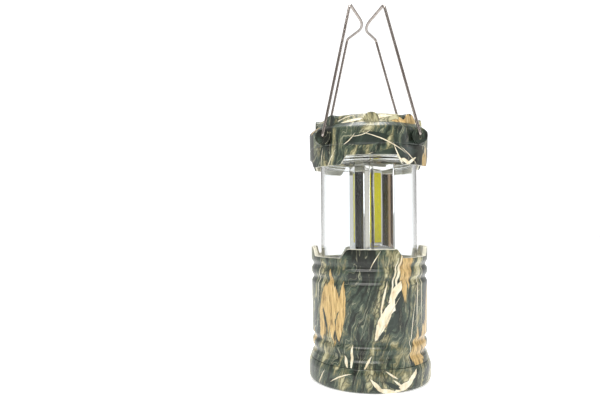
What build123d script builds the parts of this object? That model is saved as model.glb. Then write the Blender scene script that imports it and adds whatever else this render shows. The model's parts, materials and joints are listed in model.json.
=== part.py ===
"""A pop-up camping lantern with a battery housing, a head that pulls up on a clear tube, and two wire handles.

Sizes are in millimetres. +Z is up, -Y is the front, and the origin is the middle of the underside.
The model stands with the head pulled up and both handles raised.
"""
from build123d import *
import os
from math import acos, asin, atan2, cos, degrees, hypot, radians, sin, tan

os.makedirs("parts", exist_ok=True)

# ---- Driving sizes -------------------------------------------------------------------------

travel = 62.4            # how far the head pulls up
gap = 0.3                # running gap between pieces that move past each other
fit_gap = 0.02           # gap of a seated or glued piece
slack = 0.1              # gap round a piece that drops into a slot or a seat
over = 1.0               # how far a cutting shape runs past what it cuts
weld = 0.5               # how far shapes that join run into each other

# Base cap
cap_r = 44.15
cap_foot_r = 41.7        # outer edge of the ring that it stands on
cap_recess_r = 34.0      # shallow recess inside that ring
cap_recess = 0.6
cap_round_z = 3.2        # the lower edge is rounded up to here
cap_edge_z = 12.4        # the shoulder starts here
cap_floor = 2.2
gasket_t = 1.2
gasket_in = 0.2          # its inner edge stands back from the bore
seam_z = 16.0            # top edge of the cap

# Twist lock between cap and housing
lug_count = 4
lug_width = 6.0
lug_height = 2.4
lug_depth = 1.7
lug_z = 8.0
twist_deg = 20.0
slot_gap = 0.4           # clearance of a lug in its slot
first_lug_deg = 45.0

# Housing shell
body_r = 41.9            # at the top edge
body_draft = 0.45        # the shell is this much slimmer just above the cap
bore_r = 38.8            # inside
skirt_r = 40.6           # the neck that the cap goes over
flare_r = 42.7           # the lip above the cap
flare_z = 19.3           # the lip runs out here
flare_lip = (0.6, 1.3)       # the lip tucks in by this much, this far below where it runs out
groove_depth = 1.55
groove_half = 2.85
low_grooves = (22.7, 31.7)
top_grooves = (15.0, 6.0)    # below the floor of the notches

# Interlocking edge of housing and head
tab_h = 6.2
front_tab = (17.0, 21.25)    # half width at its top and at its root
side_tab = (10.1, 15.3)
tab_corner = 1.2
dimple_r = 3.5
dimple_depth = 0.5
dimple_deg = 100.0           # round from the front
dimple_drop = 3.9            # below the top of the tab

# Cells, lying side by side along X
cell_r = 7.25
cell_len = 50.5
cell_count = 3
cell_pitch = 14.8
button_r = 2.75
button_h = 1.2
cell_edge = 0.8              # rounding of the tin's ends
cell_slack = 0.05            # between a cell's button and its plate
cell_floor_gap = 1.0
spring_h = 5.0
spring_r = 3.0
spring_wire = 0.35
spring_pitch = 1.55
plate_t = 0.4
plate_half = 5.6

# Battery tray
tray_t = 1.8
tray_wall = 1.2
tray_gap = 0.3
web_half = 0.8               # thickness each way of the webs between the cells
web_end = 6.0                # they stop this far from the end walls
web_low = 0.72               # and reach down to this share of a cell's radius above its middle
post_r = 2.6
post_place = 35.6            # radius of the circle that the screw posts stand on
post_deg = 18.0
post_len = 8.0

# Contact rails and leaf contacts
rail_width = 5.0
rail_t = 0.4
rail_jog = 0.7
rail_wall_gap = 0.3          # between a rail and the wall behind it
rail_foot = 3.0              # length of its foot beside the tray's slot
rail_pad = 5.2
closed_gap = 0.6             # left under the slider when the head is down

# Clear tube and its rings
tube_r = 34.75
tube_wall = 2.0
tube_flange_r = 36.3
tube_flange = (2.4, 6.0)     # from and to, above the lower edge of the head
tube_step = (0.4, 0.5)       # height of the ring's sloping edge, and how far the tube is thicker above it
tube_rib = (2.4, 0.7)        # width and depth of the moulding line inside
guide_t = 2.1
guide_drop = 1.1             # below the floor of the notches
stop_t = 1.6
carrier_t = 2.0
leaf_room = 0.75             # round a leaf contact where it passes the stop ring

# Reflector column: three long faces with a strip of light each, and cut corners
face_r = 12.0
face_half = 14.8
face_deg = (36.5, 156.5, 276.5)      # round from the front
dish_depth = 2.5
dish_half = 13.2
dish_low = 9.0               # above the lower end of the column
dish_top = 7.0               # below its upper end
column_bore = 6.0
corner_screw = 2.8           # how much further out than the faces the corner screws stand
board_sink = 0.2             # a board sits this deep in the bottom of its dish
strip_half = 3.05
strip_len = 50.0
strip_t = 0.5
board_half = 4.2
board_len = 53.0
board_t = 1.0
lead_r = 0.7
lead_x = 2.6
leaf_start = 18.5            # full width from here outward
leaf_tail = 1.8

# Head, heights above its lower edge
head_low_r = 42.4
head_edge_r = 42.9
head_line_z = 13.5           # the fine groove round it
head_line = (0.6, 0.5)       # half width and depth
head_edge_z = 25.1
head_top_z = 28.3
head_top_r = 39.0
head_wall = 2.4
mouth_r = 36.9               # opening that the top cover closes
mouth_t = 1.6                # thickness of the lip round that opening
mouth_slope = 1.0            # the ceiling below the lip slopes by this much
bulkhead_z = 8.5
bulkhead_t = 2.0
wire_way_r = 7.0

# Top cover
cover_h = 6.9
cover_low_r = 38.5
cover_high_r = 33.8
cover_rim_r = 31.2
cover_edge = 0.7             # the rim rises this much above the cone
cover_dish = 0.8
cover_dish_r = 29.0
cover_t = 2.0
spigot_h = 3.0
spigot_t = 2.0
bump_count = 8
bump_half = 5.2
bump_r = 38.3
cover_post_place = 26.0
cover_post_r = 2.8

# Handle pivots
pivot_in = 9.9               # from the edge of the head to the pivot, along X
pivot_y = 36.6               # middle of a handle's leg
pivot_z = 19.7
boss_r = 5.1
boss_stiff_r = 6.9
boss_root = 14.0             # it starts this far from the middle plane, inside the wall
boss_drop = 0.8              # the round boss sits lower than its hole
boss_rim = 0.7
boss_sink = 0.4
pin_reach = 9.0
pin_gap = 0.06

# Wire handles
wire_r = 1.0
leg_len = 89.8
pin_bend = 1.3
bar_bend = 2.4
bow_h = 9.8                  # how far the bar stands out of the plane of the legs
bow_r = 44.0
lean_left = 12.2             # degrees inward of upright, at the stop
lean_right = 15.2

# Screws
screw_r = 1.0
screw_head_r = 1.9
screw_head_h = 1.1
screw_len = 6.0
screw_slack = 0.15
cross = (0.5, 2.3, 0.6)      # width, length and depth of the recess in a head

# ---- Heights that follow from them ---------------------------------------------------------

cell_z = cap_floor + cell_floor_gap + cell_r
tray_z = cell_z + cell_r + tray_gap
tray_top = tray_z + tray_t
slider_z = tray_top + rail_t + closed_gap + travel     # underside of the leaf contacts
carrier_z = slider_z + rail_t
tube_z = carrier_z + rail_t
stop_top = tube_z + stop_t
guide_z = stop_top + gap
notch_z = guide_z + guide_t + guide_drop
tab_z = notch_z + tab_h
head_z = notch_z + gap + travel                        # lower edge of the head
bulkhead_low = head_z + bulkhead_z
bulkhead_top = bulkhead_low + bulkhead_t
cover_z = head_z + head_top_z
top_z = cover_z + cover_h
column_z = carrier_z + carrier_t
hinge_z = head_z + pivot_z
pivot_x = head_low_r - pivot_in
boss_face = pivot_y - wire_r - gap
bay_len = cell_len + spring_h + 2 * (plate_t + slack)
bay_half = (cell_count - 1) / 2 * cell_pitch + cell_r + tray_gap
bay_x = bay_len / 2

ON_TOP = (Align.CENTER, Align.CENTER, Align.MIN)


# ---- Small builders ------------------------------------------------------------------------

def rod(radius, low, high, x=0.0, y=0.0):
    """An upright round bar."""
    return Pos(x, y, low) * Cylinder(radius, high - low, align=ON_TOP)


def ring(outer, inner, low, high):
    return rod(outer, low, high) - rod(inner, low - 1, high + 1)


def block(x0, x1, y0, y1, z0, z1):
    return Pos((x0 + x1) / 2, (y0 + y1) / 2, (z0 + z1) / 2) * Box(x1 - x0, y1 - y0, z1 - z0)


def turned(shape, angle):
    return Rot(0, 0, angle) * shape


def lathe(start, *steps):
    """Turn a closed outline of (radius, height) about Z. A step is a corner, or an arc's (middle, end)."""
    edges = []
    here = start
    for step in steps + (start,):
        if isinstance(step[0], tuple):
            middle, end = step
            edges.append(ThreePointArc((here[0], 0, here[1]), (middle[0], 0, middle[1]), (end[0], 0, end[1])))
        else:
            end = step
            edges.append(Line((here[0], 0, here[1]), (end[0], 0, end[1])))
        here = end
    return revolve(make_face(edges), Axis.Z)


def prism_front(points, near, far, corner=0.0):
    """Push an outline of (x, z) points out to the front, from near to far."""
    face = make_face(Polyline([(x, z) for x, z in points], close=True))
    if corner:
        high = max(z for x, z in points)
        face = fillet([v for v in face.vertices() if abs(v.Y - high) < 0.01], corner)
    return Pos(0, -near, 0) * extrude(Plane.XZ * face, far - near)


def tab_wedges(low, high, spare, corner=0.0):
    """The four wedges that a tab fills, each grown by spare."""
    wedges = []
    for angle, (top, root) in ((0, front_tab), (90, side_tab), (180, front_tab), (270, side_tab)):
        slope = (root - top) / tab_h
        wide = top + spare + slope * (high - low)
        outline = [(-wide, low), (wide, low), (top + spare, high), (-top - spare, high)]
        wedges.append(turned(prism_front(outline, 0, cap_r, corner), angle))
    return wedges


def screw(x, y, seat, up=False, sunk=False):
    """A self-tapping screw under its head's seat, or above it when driven from below."""
    head = rod(screw_head_r, 0, screw_head_h)
    if sunk:
        head = Pos(0, 0, -screw_head_h) * head
    top = 0 if sunk else screw_head_h
    for width, length in ((cross[0], cross[1]), (cross[1], cross[0])):
        head -= Pos(0, 0, top - cross[2] / 2) * Box(width, length, cross[2])
    shape = head + rod(screw_r, -screw_len, 0)
    if up:
        shape = Rot(180, 0, 0) * shape
    return Pos(x, y, seat) * shape


def polar(radius, angle):
    return radius * cos(radians(angle)), radius * sin(radians(angle))


def bent_wire(corners, radii, radius):
    """A round wire along straight runs, with an arc at each inner corner."""
    edges = []
    start = corners[0]
    for before, corner, after, bend in zip(corners, corners[1:], corners[2:], radii):
        arriving = (corner - before).normalized()
        leaving = (after - corner).normalized()
        half_turn = radians(arriving.get_angle(leaving)) / 2
        set_back = bend * tan(half_turn)
        inward = (leaving - arriving).normalized()
        first = corner - arriving * set_back
        last = corner + leaving * set_back
        middle = corner + inward * (bend / cos(half_turn) - bend)
        edges.append(Line(start, first))
        edges.append(ThreePointArc(first, middle, last))
        start = last
    edges.append(Line(start, corners[-1]))
    path = Wire(edges)
    section = Plane(origin=path @ 0, z_dir=path % 0) * Circle(radius)
    return sweep(section, path)


def save(name, shape):
    export_step(shape, f"parts/{name}.step")


# ---- Base cap ------------------------------------------------------------------------------

def base_cap():
    inner = skirt_r + slot_gap
    round_r = ((cap_r - cap_foot_r) ** 2 + cap_round_z ** 2) / (2 * (cap_r - cap_foot_r))
    half_arc = asin(cap_round_z / round_r) / 2
    on_arc = (cap_r - round_r + round_r * cos(half_arc), cap_round_z - round_r * sin(half_arc))
    lower_round = (on_arc, (cap_r, cap_round_z))
    shape = lathe(
        (0, cap_recess), (cap_recess_r - cap_recess, cap_recess), (cap_recess_r, 0), (cap_foot_r, 0),
        lower_round, (cap_r, cap_edge_z), (flare_r, seam_z), (inner, seam_z), (inner, cap_floor),
        (0, cap_floor),
    )
    lug = block(inner - lug_depth, inner + weld, -lug_width / 2, lug_width / 2, lug_z, lug_z + lug_height)
    for k in range(lug_count):
        shape += turned(lug, first_lug_deg + 360 / lug_count * k)
    return shape


def cap_gasket():
    return ring(skirt_r - fit_gap, bore_r + gasket_in, cap_floor, cap_floor + gasket_t)


# ---- Housing -------------------------------------------------------------------------------

def body_radius(z):
    return body_r - body_draft * (tab_z - z) / (tab_z - flare_z)


def body_outline():
    """The outside of the housing shell from its lip to its top edge, grooves included."""
    steps = [(flare_r, seam_z + gap), (flare_r - flare_lip[0], flare_z - flare_lip[1]), (body_radius(flare_z), flare_z)]
    for z in low_grooves + tuple(notch_z - drop for drop in top_grooves):
        steps.append((body_radius(z), z - groove_half))
        steps.append(((body_radius(z) - groove_depth, z), (body_radius(z), z + groove_half)))
    return steps + [(body_r, tab_z), (bore_r, tab_z)]


def lug_slots():
    """Upside-down L slots in the neck: down to the edge at one end, and along to the lock."""
    outer = skirt_r + 1
    half = lug_width / 2 + slot_gap
    high = lug_z + lug_height + slot_gap
    entry = block(bore_r - 1, outer, -half, half, 0, high)
    run = block(bore_r - 1, outer, -half, half, lug_z - slot_gap, high)
    slots = []
    for k in range(lug_count):
        locked = first_lug_deg + 360 / lug_count * k
        slots.append(turned(entry, locked - twist_deg))
        slots += [turned(run, locked - twist_deg * part / 4) for part in range(5)]
    return slots


def body_shell():
    skirt_low = cap_floor + gasket_t + gap
    shape = lathe((bore_r, skirt_low), (skirt_r, skirt_low), (skirt_r, seam_z + gap), *body_outline())
    notches = ring(body_r + 2, bore_r - 2, notch_z, tab_z + 1)
    for wedge in tab_wedges(notch_z - slack, tab_z, 0, tab_corner):
        notches -= wedge
    shape -= notches
    for slot in lug_slots():
        shape -= slot
    dimple = Pos(0, -bore_r, tab_z - dimple_drop) * Rot(90, 0, 0) * Cylinder(dimple_r, 2 * dimple_depth)
    for side in (1, -1):
        shape -= turned(dimple, side * dimple_deg)
    for x, y in tray_post_places():
        angle = degrees(atan2(y, x))
        low = tray_z - post_len
        rib = block(post_place, bore_r + weld, -post_r / 2, post_r / 2, low, tray_z)
        shape += rod(post_r, low, tray_z, x, y) + turned(rib, angle)
        shape -= rod(screw_r, low + 1, tray_z + 1, x, y)
    return shape


def guide_ring():
    return ring(bore_r - fit_gap, tube_r + gap, guide_z, guide_z + guide_t)


# ---- Battery bay ---------------------------------------------------------------------------

def tray_post_places():
    return [polar(post_place, angle) for angle in (post_deg, -post_deg, 180 - post_deg, 180 + post_deg)]


def cell_places():
    """For each cell its place along Y and the way its button points along X."""
    middle = (cell_count - 1) / 2
    return [((k - middle) * cell_pitch, 1 if k % 2 == 0 else -1) for k in range(cell_count)]


def battery(y, way):
    tin = Cylinder(cell_r, cell_len - button_h, align=ON_TOP)
    tin = fillet(tin.edges().filter_by(GeomType.CIRCLE), cell_edge)
    shape = tin + rod(button_r, cell_len - button_h - cell_edge, cell_len)
    tail = bay_x - plate_t - cell_slack - cell_len
    return Pos(way * tail, y, cell_z) * Rot(0, way * 90, 0) * shape


def battery_spring(y, way):
    """Coil between the flat end of a cell and the plate behind it."""
    tail = bay_x - plate_t - cell_slack - cell_len
    room = bay_x - plate_t + tail
    coil = Helix(pitch=spring_pitch, height=room - 2 * (spring_wire + cell_slack), radius=spring_r)
    section = Plane(origin=coil @ 0, z_dir=coil % 0) * Circle(spring_wire)
    shape = sweep(section, coil, is_frenet=True)
    start = -(bay_x - plate_t) + spring_wire + cell_slack
    return Pos(way * start, y, cell_z) * Rot(0, way * 90, 0) * shape


def end_plate(side, y_low, y_high, tab_at=None):
    """A contact plate on an end wall, with a tab up through the tray where it ends the chain."""
    inner = bay_x - plate_t
    edges = sorted((side * inner, side * bay_x))
    shape = block(edges[0], edges[1], y_low, y_high, cell_z - plate_half, cell_z + plate_half)
    if tab_at is not None:
        half = rail_width / 2
        shape += block(edges[0], edges[1], tab_at - half, tab_at + half, cell_z, tray_top)
    return shape


def battery_tray():
    out_x = bay_x + tray_wall
    out_y = bay_half + tray_wall
    low = cap_floor + cell_floor_gap + tray_wall
    shape = rod(bore_r - gap, tray_z, tray_top)
    shape += block(-out_x, out_x, -out_y, out_y, low, tray_z)
    shape -= block(-bay_x, bay_x, -bay_half, bay_half, 0, tray_z)
    for y in (-cell_pitch / 2, cell_pitch / 2):
        shape += block(-bay_x + web_end, bay_x - web_end, y - web_half, y + web_half, cell_z + web_low * cell_r, tray_z)
    for x, y in tray_post_places():
        shape -= rod(screw_r + screw_slack, tray_z - 1, tray_top + 1, x, y)
        shape -= rod(screw_head_r + screw_slack, tray_top - screw_head_h, tray_top + 1, x, y)
    half = rail_width / 2 + slack
    slot_low = bay_x - plate_t - slack
    for side in (1, -1):
        edges = sorted((side * slot_low, side * (bay_x + slack)))
        y = side * cell_pitch
        shape -= block(edges[0], edges[1], y - half, y + half, tray_z - 1, tray_top + 1)
    return shape


def contact_rail():
    """Strip from the end plate's tab along the tray and up the wall, with a pad where the leaf lands."""
    half = rail_width / 2
    wall = bore_r - fit_gap - rail_wall_gap
    inner = bay_x - plate_t
    floor = tray_top
    top = guide_z - slack
    pad_low = top - rail_pad
    shape = block(inner, inner + rail_foot, -half, cell_pitch + half, floor, floor + rail_t)
    shape += block(inner, wall, -half, half, floor, floor + rail_t)
    shape += block(wall - rail_t, wall, -half, half, floor, pad_low)
    shape += block(wall - rail_jog - rail_t, wall, -half, half, pad_low - rail_t, pad_low)
    shape += block(wall - rail_jog - rail_t, wall - rail_jog, -half, half, pad_low - rail_t, top)
    return shape


def tray_screws():
    return Compound(children=[screw(x, y, tray_top, sunk=True) for x, y in tray_post_places()])


# ---- Slider --------------------------------------------------------------------------------

def clear_tube():
    low, high = (head_z + offset for offset in tube_flange)
    inner = tube_r - tube_wall
    rise, thick = tube_step
    shape = lathe(
        (inner, tube_z), (tube_r, tube_z), (tube_r, low), (tube_flange_r, low + rise),
        (tube_flange_r, low + 3 * rise), (tube_r + thick, low + 4 * rise), (tube_r + thick, high - rise),
        (tube_r, high), (tube_r, bulkhead_low),
        (inner, bulkhead_low),
    )
    width, depth = tube_rib
    shape += block(-width / 2, width / 2, -inner - slack, -inner + depth, column_z + stop_t, bulkhead_low)
    return shape


def tube_stop_ring():
    shape = ring(bore_r - gap, tube_r + fit_gap, tube_z, stop_top)
    half = rail_width / 2 + leaf_room
    for side in (1, -1):
        edges = sorted((side * (tube_r + leaf_room), side * (bore_r + over)))
        shape -= block(edges[0], edges[1], -half, half, tube_z - over, stop_top + over)
    return shape


def contact_carrier():
    shape = rod(tube_r - tube_wall - gap, carrier_z, column_z)
    shape -= rod(column_bore, carrier_z - 1, column_z + 1)
    for x, y in column_corner_places():
        shape -= rod(screw_r + screw_slack, carrier_z - 1, column_z + 1, x, y)
        shape -= rod(screw_head_r + screw_slack, carrier_z - 1, carrier_z + screw_head_h, x, y)
    return shape


def leaf_contact():
    """Flat strip under the carrier, turned up beside the tube to meet its rail's pad, with a narrow tail."""
    half = rail_width / 2
    face = bore_r - fit_gap - rail_wall_gap - rail_jog - rail_t - gap
    shape = block(leaf_start, face, -half, half, slider_z, carrier_z)
    shape += block(lead_x - lead_r, leaf_start, -half, leaf_tail - half, slider_z, carrier_z)
    return shape + block(face - rail_t, face, -half, half, slider_z, stop_top - 2 * slack)


def column_corner_places():
    """Where a screw goes into each cut corner of the column."""
    return [polar(face_r + corner_screw, angle - 90 + 60) for angle in face_deg]


def column_section():
    points = []
    for angle in face_deg:
        for side in (-1, 1):
            turn = radians(angle - 90)
            points.append((
                face_r * cos(turn) - side * face_half * sin(turn),
                face_r * sin(turn) + side * face_half * cos(turn),
            ))
    return make_face(Polyline(points, close=True))


def dish(angle):
    """The scoop in a long face: a shallow round trough with ends that slope at 45 degrees."""
    scoop_r = (dish_half ** 2 + dish_depth ** 2) / (2 * dish_depth)
    low = column_z + dish_low
    high = bulkhead_low - dish_top
    bottom = face_r - dish_depth
    profile = [
        (bottom, low + dish_depth), (bottom, high - dish_depth), (face_r + over, high + over),
        (face_r + over, low - over),
    ]
    sloped = extrude(Plane.XZ * make_face(Polyline(profile, close=True)), dish_half + over, both=True)
    trough = rod(scoop_r, low - over, high + over, bottom + scoop_r) & sloped
    return turned(trough, angle - 90)


def board_z():
    middle = (column_z + dish_low + bulkhead_low - dish_top) / 2
    return middle - board_len / 2, middle + board_len / 2


def board_seat():
    return face_r - dish_depth - board_sink


def reflector_column():
    shape = extrude(Pos(0, 0, column_z) * column_section(), bulkhead_low - column_z)
    shape -= rod(column_bore, column_z - 1, bulkhead_low + 1)
    low, high = board_z()
    for angle in face_deg:
        shape -= dish(angle)
        half = board_half + slack
        seat = block(board_seat(), face_r, -half, half, low - slack, high + slack)
        shape -= turned(seat, angle - 90)
    for x, y in column_corner_places():
        shape -= rod(screw_r, column_z - 1, column_z + screw_len, x, y)
        shape -= rod(screw_r, bulkhead_low - screw_len, bulkhead_low + 1, x, y)
    return shape


def cob_board(angle):
    low, high = board_z()
    seat = board_seat()
    return turned(block(seat, seat + board_t, -board_half, board_half, low, high), angle - 90)


def cob_strip(angle):
    low, high = board_z()
    middle = (low + high) / 2
    seat = board_seat() + board_t
    strip = block(seat, seat + strip_t, -strip_half, strip_half, middle - strip_len / 2, middle + strip_len / 2)
    return turned(strip, angle - 90)


def lead_wires():
    lead_y = leaf_tail / 2 - rail_width / 2
    return Compound(children=[rod(lead_r, carrier_z, bulkhead_top, way * lead_x, way * lead_y) for way in (1, -1)])


def carrier_screws():
    return Compound(children=[screw(x, y, carrier_z, up=True, sunk=True) for x, y in column_corner_places()])


def column_screws():
    return Compound(children=[screw(x, y, bulkhead_top) for x, y in column_corner_places()])


# ---- Head ----------------------------------------------------------------------------------

def head_outside():
    """The outside of the head from its lower edge to the rim that the cover sits on."""
    line_half, line_depth = head_line
    slope = (head_edge_r - head_low_r) / head_edge_z
    line_r = head_low_r + slope * head_line_z
    return [
        (head_low_r, head_z), (line_r, head_z + head_line_z - line_half),
        (line_r - line_depth, head_z + head_line_z), (line_r, head_z + head_line_z + line_half),
        (head_edge_r, head_z + head_edge_z), (head_top_r, cover_z),
    ]


def pivots():
    """Each pivot's side along X and along Y."""
    return [(sx, sy) for sx in (-1, 1) for sy in (-1, 1)]


def across(radius, near, far, sx, sy, z):
    """A round bar along Y between two distances from the middle plane, at a pivot."""
    bar = Pos(0, near, 0) * Rot(-90, 0, 0) * Cylinder(radius, far - near, align=ON_TOP)
    if sy < 0:
        bar = Rot(0, 0, 180) * bar
    return Pos(sx * pivot_x, 0, z) * bar


def leg_way(side):
    """Direction of a handle's leg from its pivot, at the stop."""
    lean = lean_right if side > 0 else lean_left
    return Vector(-side * sin(radians(lean)), 0, cos(radians(lean)))


def head_shell():
    inner = head_low_r - head_wall
    ceiling = cover_z - mouth_t
    shape = lathe(
        *head_outside(), (mouth_r, cover_z), (mouth_r, ceiling), (inner, ceiling - (inner - mouth_r) - mouth_slope),
        (inner, bulkhead_top), (wire_way_r, bulkhead_top), (wire_way_r, bulkhead_low), (inner, bulkhead_low),
        (inner, head_z),
    )
    for wedge in tab_wedges(head_z - 1, head_z + tab_h, gap):
        shape -= wedge
    envelope = lathe(*head_outside(), (0, cover_z), (0, head_z))
    boss_z = hinge_z - boss_drop
    clear = rod(mouth_r, head_z - 1, cover_z + 1)
    for sx, sy in pivots():
        stiff = across(boss_stiff_r, boss_root, boss_face + boss_stiff_r, sx, sy, boss_z) & envelope
        boss = across(boss_r, boss_root, boss_face, sx, sy, boss_z)
        shape += (stiff + boss) - clear
    for sx, sy in pivots():
        shape -= across(boss_r, boss_face, cap_r, sx, sy, boss_z)
        shape -= across(boss_r - boss_rim, boss_face - boss_sink, cap_r, sx, sy, boss_z)
        shape -= across(wire_r + pin_gap, boss_face - pin_reach - gap, cap_r, sx, sy, hinge_z)
    for x, y in column_corner_places():
        shape -= rod(screw_r + screw_slack, bulkhead_low - 1, bulkhead_top + 1, x, y)
    for x, y in cover_post_places():
        shape -= rod(screw_r + screw_slack, bulkhead_low - 1, bulkhead_top + 1, x, y)
    return shape


def cover_post_places():
    return [polar(cover_post_place, 45 + 90 * k) for k in range(4)]


def top_cover():
    spigot_r = mouth_r - gap / 2
    spigot_in = spigot_r - spigot_t
    under = top_z - cover_dish - cover_t
    shape = lathe(
        (spigot_in, cover_z - spigot_h), (spigot_r, cover_z - spigot_h), (spigot_r, cover_z), (cover_low_r, cover_z),
        (cover_high_r, top_z - cover_edge), (cover_rim_r, top_z), (cover_dish_r + over, top_z),
        (cover_dish_r, top_z - cover_dish), (0, top_z - cover_dish), (0, under), (cover_dish_r, under),
        (spigot_in, cover_z),
    )
    straight = cover_h - bump_half
    face = Pos(0, cover_z + straight / 2) * Rectangle(2 * bump_half, straight)
    face += Pos(0, cover_z + straight) * Circle(bump_half)
    face &= Pos(0, cover_z + cover_h / 2) * Rectangle(2 * bump_half, cover_h)
    bump = Pos(0, -cover_rim_r, 0) * extrude(Plane.XZ * face, bump_r - cover_rim_r)
    for k in range(bump_count):
        shape += turned(bump, 360 / bump_count * k)
    for x, y in cover_post_places():
        shape += rod(cover_post_r, bulkhead_top, under + weld, x, y)
        shape -= rod(screw_r, bulkhead_top - 1, bulkhead_top + screw_len, x, y)
    return shape


def cover_screws():
    return Compound(children=[screw(x, y, bulkhead_low, up=True) for x, y in cover_post_places()])


# ---- Wire handles --------------------------------------------------------------------------

def handle(side):
    """One bent wire: two pins, two legs and a bar that bows out of their plane."""
    along = leg_way(side)
    out = Vector(-side * along.Z, 0, side * along.X)
    pivot = Vector(side * pivot_x, 0, hinge_z)
    centre = bow_h - bow_r
    turn = atan2(pivot_y, -centre) - acos(bow_r / hypot(pivot_y, centre))
    apex = pivot + along * leg_len + out * (centre + bow_r / cos(turn))
    corners = []
    for sy in (-1, 1):
        leg_end = pivot + Vector(0, sy * pivot_y, 0)
        pin_end = pivot + Vector(0, sy * (boss_face - pin_reach), 0)
        corners.append([pin_end, leg_end, leg_end + along * leg_len])
    path = corners[0] + [apex] + corners[1][::-1]
    return bent_wire(path, [pin_bend, bar_bend, bow_r, bar_bend, pin_bend], wire_r)


# ---- Write every piece ---------------------------------------------------------------------

save("base_cap", base_cap())
save("cap_gasket", cap_gasket())
save("body_shell", body_shell())
save("guide_ring", guide_ring())
save("battery_tray", battery_tray())
save("tray_screws", tray_screws())
for number, (cell_y, cell_way) in enumerate(cell_places(), 1):
    save(f"battery_{number}", battery(cell_y, cell_way))
    save(f"battery_spring_{number}", battery_spring(cell_y, cell_way))
save("terminal_plate_negative", end_plate(-1, -cell_pitch - plate_half, -cell_pitch + plate_half, -cell_pitch))
save("terminal_plate_positive", end_plate(1, cell_pitch - plate_half, cell_pitch + plate_half, cell_pitch))
save("bridge_plate_right", end_plate(1, -cell_pitch - plate_half, plate_half))
save("bridge_plate_left", end_plate(-1, -plate_half, cell_pitch + plate_half))
save("contact_rail_positive", contact_rail())
save("contact_rail_negative", turned(contact_rail(), 180))
save("clear_tube", clear_tube())
save("tube_stop_ring", tube_stop_ring())
save("contact_carrier", contact_carrier())
save("leaf_contact_positive", leaf_contact())
save("leaf_contact_negative", turned(leaf_contact(), 180))
save("reflector_column", reflector_column())
for number, direction in enumerate(face_deg, 1):
    save(f"cob_board_{number}", cob_board(direction))
    save(f"cob_strip_{number}", cob_strip(direction))
save("lead_wires", lead_wires())
save("carrier_screws", carrier_screws())
save("column_screws", column_screws())
save("head_shell", head_shell())
save("top_cover", top_cover())
save("cover_screws", cover_screws())
save("handle_left", handle(-1))
save("handle_right", handle(1))
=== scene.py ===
"""Looks of a pop-up camping lantern: woodland-printed shells, a clear tube round a mirrored light column,
and two bent-wire handles. Lengths in the helpers are in millimetres, and every mesh is built in metres."""
import json
import math

import bmesh
import bpy
from mathutils import Matrix, Vector


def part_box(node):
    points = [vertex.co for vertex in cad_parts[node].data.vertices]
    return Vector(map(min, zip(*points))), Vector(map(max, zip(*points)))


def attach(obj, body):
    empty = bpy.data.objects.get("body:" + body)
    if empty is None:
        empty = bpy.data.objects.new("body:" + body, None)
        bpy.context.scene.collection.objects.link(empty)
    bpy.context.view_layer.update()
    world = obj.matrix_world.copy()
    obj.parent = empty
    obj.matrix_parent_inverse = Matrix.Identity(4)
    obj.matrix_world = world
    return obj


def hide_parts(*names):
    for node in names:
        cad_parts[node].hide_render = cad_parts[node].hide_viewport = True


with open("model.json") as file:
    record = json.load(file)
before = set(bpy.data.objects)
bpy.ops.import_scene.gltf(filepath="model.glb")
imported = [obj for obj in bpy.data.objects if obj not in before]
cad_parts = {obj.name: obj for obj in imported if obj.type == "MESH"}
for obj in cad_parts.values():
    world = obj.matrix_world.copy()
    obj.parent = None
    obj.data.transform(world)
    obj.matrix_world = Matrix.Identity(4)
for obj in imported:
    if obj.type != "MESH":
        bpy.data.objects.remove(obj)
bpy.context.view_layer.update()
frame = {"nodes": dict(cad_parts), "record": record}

MM = 0.001


def low_mm(node):
    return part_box(node)[0] / MM


def high_mm(node):
    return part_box(node)[1] / MM


# ---- Sizes in millimetres, from the frame where it holds them -------------------------------

CAP_R = high_mm("base_cap").x
SEAM_Z = high_mm("base_cap").z
BODY_R = 41.9
BODY_DRAFT = 0.45
BORE_R = 38.8
SKIRT_R = 40.6
TAB_Z = high_mm("body_shell").z
TAB_H = 6.2
NOTCH_Z = TAB_Z - TAB_H
HEAD_Z = low_mm("head_shell").z
COVER_Z = high_mm("head_shell").z
TOP_Z = high_mm("top_cover").z
TUBE_Z = low_mm("clear_tube").z
TUBE_TOP = high_mm("clear_tube").z
TUBE_R = 34.75
TUBE_WALL = 2.0
COLUMN_Z = low_mm("reflector_column").z
COLUMN_TOP = high_mm("reflector_column").z
FRONT_TAB = (17.0, 21.25)
SIDE_TAB = (10.1, 15.3)
FACE_DEG = (36.5, 156.5, 276.5)
PIVOT_X = 32.5
PIVOT_Y = 36.6
BOSS_FACE = 35.3
BOSS_R = 5.1
HINGE_Z = HEAD_Z + 19.7
BOSS_Z = HINGE_Z - 0.8
WIRE_R = 1.0
PIN_DEPTH = 9.0
BEYOND = 46              # clear of the head, for the tools that cut it
LEG_LEN = 89.8
BOW_H = 9.8
BOW_R = 44.0
LEAN = {-1: 12.2, 1: 15.2}
GRIP_HALF = 5.2
GRIP_H = TOP_Z - COVER_Z
GRIP_R = 38.3
GRIP_ROOT_R = 30.5
SHARP_DEG = 38          # edges that turn more than this stay crisp


# ---- Colour and nodes ----------------------------------------------------------------------

def tint(code):
    """Linear RGBA from an sRGB hex colour."""
    parts = [int(code[i:i + 2], 16) / 255 for i in (1, 3, 5)]
    return tuple(p / 12.92 if p <= 0.04045 else ((p + 0.055) / 1.055) ** 2.4 for p in parts) + (1.0,)


def add(tree, kind, inputs=None, **settings):
    """Add a node, set its properties, and fill or link its inputs. Returns its first output."""
    node = tree.nodes.new(kind)
    for key, value in settings.items():
        setattr(node, key, value)
    for key, value in (inputs or {}).items():
        if isinstance(value, bpy.types.NodeSocket):
            tree.links.new(value, node.inputs[key])
        else:
            node.inputs[key].default_value = value
    return node.outputs[0] if node.outputs else node


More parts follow.
